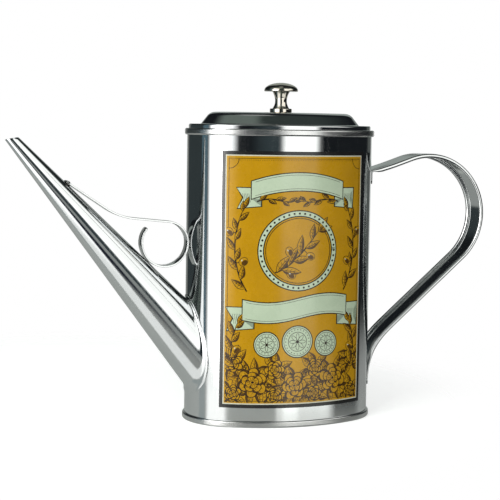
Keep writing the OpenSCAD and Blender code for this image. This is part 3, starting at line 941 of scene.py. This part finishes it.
def draw_label():
    # Upper ribbon in an arch, with a sprig hanging under each end
    arch = [(u, 136.5 - 0.0065 * u * u) for u in np.linspace(-27, 27, 28)]
    ribbon(arch, 9.5)
    # Middle: an oval panel with an olive sprig, in a band of cream with dots
    centre = (0.0, 98.5)
    inks["outline"].extend(closed_stroke(ellipse(centre, 21.6, 20.6, 0, 72), 3.7))
    inks["cream"].extend(closed_stroke(ellipse(centre, 21.6, 20.6, 0, 72), 2.5))
    for i in range(44):
        a = 360 * i / 44
        p = (centre[0] + 21.6 * cosine(a), centre[1] + 20.6 * sine(a))
        inks["detail"].append(ellipse(p, 0.62, 0.62, 0, 10))
    inks["outline"].extend(closed_stroke(ellipse(centre, 18.9, 17.9, 0, 72), 0.35))
    branch(curve((-13.5, 86.5), (-6, 88.5), (2, 97), (11.5, 109.5), 22), 12.0, 4.3, 3,
           ((6, -1, 5.2), (11, 1, 5.6), (15, -1, 5.2)))
    # Standing branches on both sides of the panel
    for flip in (False, True):
        line = curve((-29, 76), (-38, 90), (-37.5, 108), (-31, 122), 26)
        line2 = curve((-24, 125.5), (-15, 129.5), (-8, 123.5), (-3, 126), 16)
        if flip:
            line = mirrored(line)
            line2 = mirrored(line2)
        branch(line, 8.6, 3.2, 3, ((9, 1 if flip else -1, 4.2), (18, -1 if flip else 1, 4.0)), lean=34)
        branch(line2, 5.6, 2.1, 3, (), lean=32)
    # Lower ribbon in a wave, then three medallions over it
    wave = [(u, 66.5 + 2.4 * math.sin(math.radians(u * 5.2))) for u in np.linspace(-31, 31, 40)]
    ribbon(wave, 11.0)
    for c, r, n in (((0.0, 48.0), 8.6, 8), ((-17.5, 46.5), 6.8, 6), ((17.5, 46.5), 6.8, 6)):
        medallion(c, r, n)
    # Foliage and blossoms that fill the foot of the label
    for flip in (False, True):
        line = curve((-35, 33), (-39, 42), (-37, 52), (-33.5, 58), 18)
        branch(mirrored(line) if flip else line, 9.0, 3.8, 3, ((7, 1 if flip else -1, 3.0),), lean=38)
    blossoms = (
        (-25.0, 25.5, 8.2, 8, 10), (-1.5, 23.5, 7.4, 8, 32), (22.5, 26.5, 8.4, 8, 50), (-12.8, 32.5, 5.4, 7, 0),
        (11.0, 33.0, 5.0, 7, 25), (-36.0, 36.0, 5.2, 7, 15), (36.0, 37.0, 5.2, 7, 70), (-36.0, 19.0, 4.6, 6, 40),
        (35.5, 18.5, 4.6, 6, 5), (-13.0, 18.0, 4.4, 6, 20), (10.5, 18.5, 4.4, 6, 60))
    for u, v, r, count, turn in blossoms:
        for k in range(count):
            a = turn + 360 * (k + 0.5) / count
            start = (u + 0.55 * r * cosine(a), v + 0.55 * r * sine(a))
            leaf(start, a + 12 * math.sin(1.9 * k), 4.6 + 0.55 * r, 3.9, 0.16 * math.sin(2.7 * k + u), 0.34, "foot_")
    for u, v, r, _, turn in blossoms:
        blossom((u, v), r, turn)
    # Thin inner frame with a dotted edge, and a quarter ring in each upper corner
    e = 39.6
    low, high = LABEL_LOW + 4.0, LABEL_TOP - 4.0
    inks["outline"].extend(rect_lines(-e, low, e, high, 0.24))
    for k in range(76):
        u = -37.5 + k
        inks["outline"].append(ellipse((u, low + 0.9), 0.18, 0.18, 0, 6))
        inks["outline"].append(ellipse((u, high - 0.9), 0.18, 0.18, 0, 6))
    for su in (-1, 1):
        for top in (low, high):
            sv = 1 if top == low else -1
            pts = [(su * (e - 5.5 * cosine(a)), top + sv * 5.5 * sine(a)) for a in range(0, 91, 9)]
            if sv < 0:
                inks["outline"].extend(strokes(pts, 0.3))


def rect_lines(u0, v0, u1, v1, w):
    h = w / 2
    return [rect(u0 - h, v0 - h, u1 + h, v0 + h), rect(u0 - h, v1 - h, u1 + h, v1 + h),
            rect(u0 - h, v0 + h, u0 + h, v1 - h), rect(u1 - h, v0 + h, u1 + h, v1 - h)]


def ink(name, tint, shade, rough=0.3):
    """Printed ink under a clear gloss, with the fine mottle and unevenness of a print on sheet."""
    m, tree, s, out = new_material(name)
    cloud = noise(tree, 60, 4, 0.6)
    grain = noise(tree, 2400, 2, 0.5)
    both = math_node(tree, "ADD", math_node(tree, "MULTIPLY", cloud, 0.7), math_node(tree, "MULTIPLY", grain, 0.3))
    tree.links.new(mix_colour(tree, remap(tree, both, 0.38, 0.62, 0, 1), tint, shade), s.inputs["Base Color"])
    rub = noise(tree, 130, 5, 0.7)
    tree.links.new(remap(tree, rub, 0.45, 0.75, rough - 0.04, rough + 0.08), s.inputs["Roughness"])
    s.inputs["Specular IOR Level"].default_value = 0.35
    s.inputs["Coat Weight"].default_value = 0.5
    s.inputs["Coat Roughness"].default_value = 0.07
    waves = noise(tree, 24, 2, 0.5)
    first = bump(tree, s, waves, 1.0, 0.00004)
    bump(tree, s, grain, 0.25, 0.000004, first)
    return m


draw_label()
black = ink("label_black", (0.010, 0.010, 0.011), (0.022, 0.021, 0.020), 0.25)
ochre = ink("label_ochre", (0.60, 0.315, 0.003), (0.53, 0.275, 0.002))
brown = ink("label_brown", (0.012, 0.007, 0.003), (0.022, 0.012, 0.004))
leaf_ink = ink("label_leaf", (0.60, 0.32, 0.004), (0.50, 0.255, 0.003))
leaf_shade = ink("label_leaf_shade", (0.115, 0.052, 0.004), (0.075, 0.034, 0.003))
cream = ink("label_cream", (0.60, 0.72, 0.52), (0.54, 0.66, 0.47))
cream_shade = ink("label_cream_shade", (0.33, 0.40, 0.30), (0.27, 0.34, 0.25))
line_ink = ink("label_line", (0.72, 0.72, 0.58), (0.66, 0.66, 0.52))
w = LABEL_HALF
print_film("label_edge", [rect(-w, LABEL_LOW, w, LABEL_TOP)], 0.05, black, replaced=["front_label"])
print_film("label_line", rect_lines(-w + 2.35, LABEL_LOW + 2.35, w - 2.35, LABEL_TOP - 2.35, 0.62), 0.075, line_ink)
print_film("label_ground", [rect(-w + 2.66, LABEL_LOW + 2.66, w - 2.66, LABEL_TOP - 2.66)], 0.065, ochre)
for k, level in enumerate(("foot_", "low_", "mid_", "top_")):
    for j, (kind, material) in enumerate((
            ("outline", brown), ("leaf", leaf_ink), ("shade", leaf_shade), ("mark", brown))):
        lift = 0.078 + 0.009 * k + 0.0022 * j
        print_film("label_" + level + kind, inks[level + kind], lift, material, 3.1)
print_film("label_tail_lines", inks["under_outline"], 0.116, brown, 3.1)
print_film("label_tails", inks["under_fill"], 0.119, cream, 3.1)
print_film("label_tail_folds", inks["under_fold"], 0.122, cream_shade, 3.1)
print_film("label_tail_marks", inks["under_lines"], 0.122, brown, 3.1)
print_film("label_outlines", inks["outline"], 0.126, brown, 3.1)
print_film("label_leaves", inks["leaf"], 0.13, leaf_ink, 3.1)
print_film("label_leaf_shade", inks["shade"], 0.14, leaf_shade, 3.1)
print_film("label_leaf_marks", inks["mark"], 0.145, brown, 3.1)
print_film("label_ribbons", inks["cream"], 0.15, cream, 3.1)
print_film("label_glints", inks["glint"], 0.16, line_ink, 3.1)
print_film("label_details", inks["detail"], 0.17, brown, 3.1)

def bead(centre, along, outward, size, seed):
    """A lump of solder, flat where it lies on the sheet and uneven round its edge."""
    across = np.cross(along, outward)
    verts, rows, n = [], 9, 20
    for i in range(rows):
        e = 90 * i / (rows - 1)
        for k in range(n):
            a = 360 * k / n
            wave = 1 + 0.13 * sine(2 * a + 50 * seed) + 0.07 * sine(5 * a + 80 * seed) * cosine(e)
            flat = cosine(e) ** 0.8 * wave
            p = (np.array(centre) + flat * size[0] * cosine(a) * along + flat * size[1] * sine(a) * across
                 + size[2] * sine(e) * (1 + 0.12 * sine(a + 40 * seed)) * outward)
            verts.append(tuple(p))
    faces = [(i * n + k, i * n + (k + 1) % n, (i + 1) * n + (k + 1) % n, (i + 1) * n + k)
             for i in range(rows - 1) for k in range(n)]
    first = len(verts)
    faces.append(tuple(range(n))[::-1])
    faces.append(tuple(range(first - n, first)))
    return verts, faces


def make_solder():
    down = np.array([cosine(SPOUT_TOP), 0, -sine(SPOUT_TOP)])
    out = np.array([TOP_N[0], 0, TOP_N[1]])
    start = np.array([brace_start[0], 0, brace_start[1]])
    x, z = np.array([1.0, 0, 0]), np.array([0, 0, 1.0])
    touch = np.array([-HALF_LENGTH, 0, scroll_z])
    verts, faces = [], []
    for part in (bead(start - 0.75 * out + 0.9 * down, down, out, (1.9, 4.4, 1.7), 1),
                 bead(touch + 0.35 * x + 1.1 * z, z, -x, (2.3, 3.3, 1.35), 3),
                 bead(touch + 0.35 * x - 1.3 * z, z, -x, (1.6, 2.9, 1.0), 4)):
        shift = len(verts)
        verts += part[0]
        faces += [tuple(v + shift for v in f) for f in part[1]]
    return verts, faces


verts, faces = make_solder()
add_piece("solder_beads", verts, faces, solder, "can", "solder", ["solder_spots"], 60)

for node, material in (("knob_screw", fastener), ("knob_washer", fastener)):
    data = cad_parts[node].data
    data.materials.clear()
    data.materials.append(material)

# Camera at the photograph's viewpoint

YAW = 0.3091
DIP = 0.0881
ROLL = 0.0153
forward = Vector((math.sin(YAW) * math.cos(DIP), math.cos(YAW) * math.cos(DIP), -math.sin(DIP)))
right = Vector((math.cos(YAW), -math.sin(YAW), 0))
up = right.cross(forward)
cam_x = math.cos(ROLL) * right + math.sin(ROLL) * up
cam_y = -math.sin(ROLL) * right + math.cos(ROLL) * up
cam_data = bpy.data.cameras.new("camera")
cam_data.lens = 101.2
cam_data.sensor_width = 36
cam_data.clip_start = 0.05
cam_data.clip_end = 50
camera = bpy.data.objects.new("camera", cam_data)
camera.matrix_world = Matrix((
    (cam_x.x, cam_y.x, -forward.x, -0.26026513),
    (cam_x.y, cam_y.y, -forward.y, -0.76133334),
    (cam_x.z, cam_y.z, -forward.z, 0.16666699),
    (0, 0, 0, 1)))
scene.collection.objects.link(camera)
scene.camera = camera

# Floor: pale, with the can's soft shadow

FLOOR_CENTRE = (-0.11, 0.085)
FLOOR_SIZE = (0.29, 0.28)


def make_floor():
    n = 96
    rings = (0.1, 0.4, 0.7, 0.9, 1.0)
    verts = [(FLOOR_CENTRE[0], FLOOR_CENTRE[1], 0)]
    for r in rings:
        for i in range(n):
            a = 2 * math.pi * i / n
            verts.append((FLOOR_CENTRE[0] + r * FLOOR_SIZE[0] * math.cos(a),
                          FLOOR_CENTRE[1] + r * FLOOR_SIZE[1] * math.sin(a), 0))
    faces = [(0, 1 + i, 1 + (i + 1) % n) for i in range(n)]
    for k in range(len(rings) - 1):
        a = 1 + k * n
        faces += [(a + i, a + n + i, a + n + (i + 1) % n, a + (i + 1) % n) for i in range(n)]
    mesh = bpy.data.meshes.new("floor")
    mesh.from_pydata(verts, [], faces)
    obj = bpy.data.objects.new("floor", mesh)
    scene.collection.objects.link(obj)
    return obj


floor = make_floor()
paper, tree, shader, out = new_material("floor_paper")
pulp = noise(tree, 900, 3, 0.6)
tree.links.new(mix_colour(tree, pulp, (0.62, 0.65, 0.62), (0.66, 0.68, 0.65)), shader.inputs["Base Color"])
shader.inputs["Roughness"].default_value = 0.75
shader.inputs["Specular IOR Level"].default_value = 0.2
bump(tree, shader, pulp, 0.2, 0.00003)
lights = tree.nodes.new("ShaderNodeLightPath")
glow = tree.nodes.new("ShaderNodeEmission")
glow.inputs["Strength"].default_value = 1.0
add = tree.nodes.new("ShaderNodeAddShader")
place = tree.nodes.new("ShaderNodeSeparateXYZ")
tree.links.new(coords(tree, (1, 1, 1)), place.inputs[0])
squares = []
for axis in (0, 1):
    from_centre = math_node(tree, "SUBTRACT", place.outputs[axis], FLOOR_CENTRE[axis])
    squares.append(math_node(tree, "POWER", math_node(tree, "DIVIDE", from_centre, FLOOR_SIZE[axis]), 2.0))
rim = remap(tree, math_node(tree, "ADD", squares[0], squares[1]), 0.3, 0.95, 1.0, 0.0, True)
# The paper's faint sheen lets the studio through in reflections
sheen = math_node(tree, "SUBTRACT", 1.0, math_node(tree, "MULTIPLY", lights.outputs["Is Glossy Ray"], 0.4))
tree.links.new(mix_colour(tree, lights.outputs["Is Camera Ray"], (0.0, 0.0, 0.0), (0.62, 0.62, 0.62)),
               glow.inputs["Color"])
tree.links.new(shader.outputs[0], add.inputs[0])
tree.links.new(glow.outputs[0], add.inputs[1])
clear = tree.nodes.new("ShaderNodeBsdfTransparent")
fade = tree.nodes.new("ShaderNodeMixShader")
tree.links.new(math_node(tree, "MULTIPLY", rim, sheen), fade.inputs[0])
tree.links.new(clear.outputs[0], fade.inputs[1])
tree.links.new(add.outputs[0], fade.inputs[2])
tree.links.new(fade.outputs[0], out.inputs["Surface"])
floor.data.materials.append(paper)

# Studio: white for the camera, soft boxes and dark cards in the reflections, and an even
# level for everything else. Azimuth 0 is the label's side and grows towards the spout.

world = bpy.data.worlds.new("studio")
scene.world = world
world.use_nodes = True
tree = world.node_tree
tree.nodes.clear()
world_out = tree.nodes.new("ShaderNodeOutputWorld")
tc = tree.nodes.new("ShaderNodeTexCoord")
split = tree.nodes.new("ShaderNodeSeparateXYZ")
tree.links.new(tc.outputs["Generated"], split.inputs[0])
minus_x = math_node(tree, "MULTIPLY", split.outputs[0], -1.0)
minus_y = math_node(tree, "MULTIPLY", split.outputs[1], -1.0)
azimuth = math_node(tree, "MULTIPLY", math_node(tree, "ARCTAN2", minus_x, minus_y), 180 / math.pi)
height = math_node(tree, "MULTIPLY", math_node(tree, "ARCSINE", split.outputs[2]), 180 / math.pi)


def band(value, lo, hi, soft_lo, soft_hi):
    """1 between lo and hi, falling to 0 over the soft distances outside them."""
    rise = remap(tree, value, lo - soft_lo, lo, 0, 1, True)
    fall = remap(tree, value, hi, hi + soft_hi, 1, 0, True)
    return math_node(tree, "MULTIPLY", rise, fall)


def patch(az, el):
    return math_node(tree, "MULTIPLY", band(azimuth, *az), band(height, *el))


studio = mix_colour(tree, 0.0, (0.009, 0.011, 0.013), (0.009, 0.011, 0.013))
LAYERS = (
    # (azimuth lo, hi, soft, soft), (elevation lo, hi, soft, soft), colour
    ((-75, 20, 40, 30), (35, 90, 25, 1), (0.035, 0.045, 0.042)),
    ((25, 100, 30, 40), (50, 90, 25, 1), (0.14, 0.17, 0.15)),
    ((-176, -142, 6, 12), (8, 40, 8, 20), (0.34, 0.38, 0.36)),
    ((96, 155, 8, 12), (-30, 10, 15, 12), (0.034, 0.044, 0.046)),
    ((40, 140, 12, 20), (-90, -48, 1, 10), (1.0, 1.02, 0.98)),
    ((166, 181, 6, 1), (-60, 10, 15, 8), (0.2, 0.21, 0.2)),
    ((-181, -118, 1, 14), (-90, 8, 1, 10), (0.09, 0.1, 0.095)),
    ((92, 181, 6, 1), (-90, -10, 1, 2.5), (0.3, 0.32, 0.31)),
    ((-181, -177, 1, 5), (-90, -10, 1, 2.5), (0.4, 0.42, 0.4)),
    ((-158, -100, 8, 25), (-90, -10, 1, 3), (0.3, 0.31, 0.3)),
    ((91, 103, 4, 4), (-40, 50, 10, 15), (0.09, 0.15, 0.18)),
    ((38, 80, 8, 10), (-90, 42, 1, 20), (1.5, 1.52, 1.52)),
    ((-31, -8, 8, 9), (-10, 42, 4, 12), (1.45, 1.47, 1.44)),
    ((-62, -25, 14, 10), (16, 38, 10, 10), (1.25, 1.27, 1.24)),
    ((0, 5, 8, 20), (-90, 12, 1, 18), (0.036, 0.05, 0.055)),
    ((-45, 34, 12, 8), (-50, -12, 12, 5), (0.012, 0.015, 0.026)),
    ((0, 40, 3, 8), (-18, -11, 4, 2), (0.28, 0.3, 0.29)),
    ((-46, -5, 12, 5), (-18, -10, 4, 2), (1.3, 1.33, 1.29)),
    ((-19, -10, 4, 4), (-18, -11, 4, 2), (2.0, 2.05, 2.0)),
    ((43, 77, 8, 8), (-18, -11, 4, 2), (2.3, 2.32, 2.3)),
    ((-181, -140, 1, 10), (-8, 5, 4, 5), (0.7, 0.72, 0.71)),
    ((-181, 181, 1, 1), (84, 90, 5, 1), (0.3, 0.31, 0.3)),
)
for az, el, colour in LAYERS:
    studio = mix_colour(tree, patch(az, el), studio, colour)
path = tree.nodes.new("ShaderNodeLightPath")
# The hottest part of the soft box shows in direct reflections only. In a reflection of a
# reflection it would break into bright dots.
direct = math_node(tree, "LESS_THAN", path.outputs["Glossy Depth"], 1.5)
core = math_node(tree, "MULTIPLY", patch((50, 66, 11, 9), (-6, 24, 4, 12)), direct)
studio = mix_colour(tree, core, studio, (6.5, 6.4, 6.3))
plain = mix_colour(tree, path.outputs["Is Camera Ray"], (0.36, 0.37, 0.37), (1.0, 1.0, 1.0))
shiny = math_node(tree, "MAXIMUM", path.outputs["Is Glossy Ray"], path.outputs["Is Transmission Ray"])
back = tree.nodes.new("ShaderNodeBackground")
tree.links.new(mix_colour(tree, shiny, plain, studio), back.inputs["Color"])
tree.links.new(back.outputs[0], world_out.inputs["Surface"])


def area_lamp(name, place, target, size, power):
    data = bpy.data.lights.new(name, "AREA")
    data.shape = "RECTANGLE"
    data.size = size[0]
    data.size_y = size[1]
    data.energy = power
    obj = bpy.data.objects.new(name, data)
    obj.location = place
    obj.rotation_euler = (Vector(target) - Vector(place)).to_track_quat("-Z", "Y").to_euler()
    obj.visible_glossy = False
    scene.collection.objects.link(obj)


area_lamp("key_lamp", (-0.82, -0.74, 0.6), (-0.04, 0, 0.06), (0.55, 0.55), 10.5)
area_lamp("fill_lamp", (0.6, -1.3, 1.3), (0, 0, 0.08), (0.9, 0.9), 2)
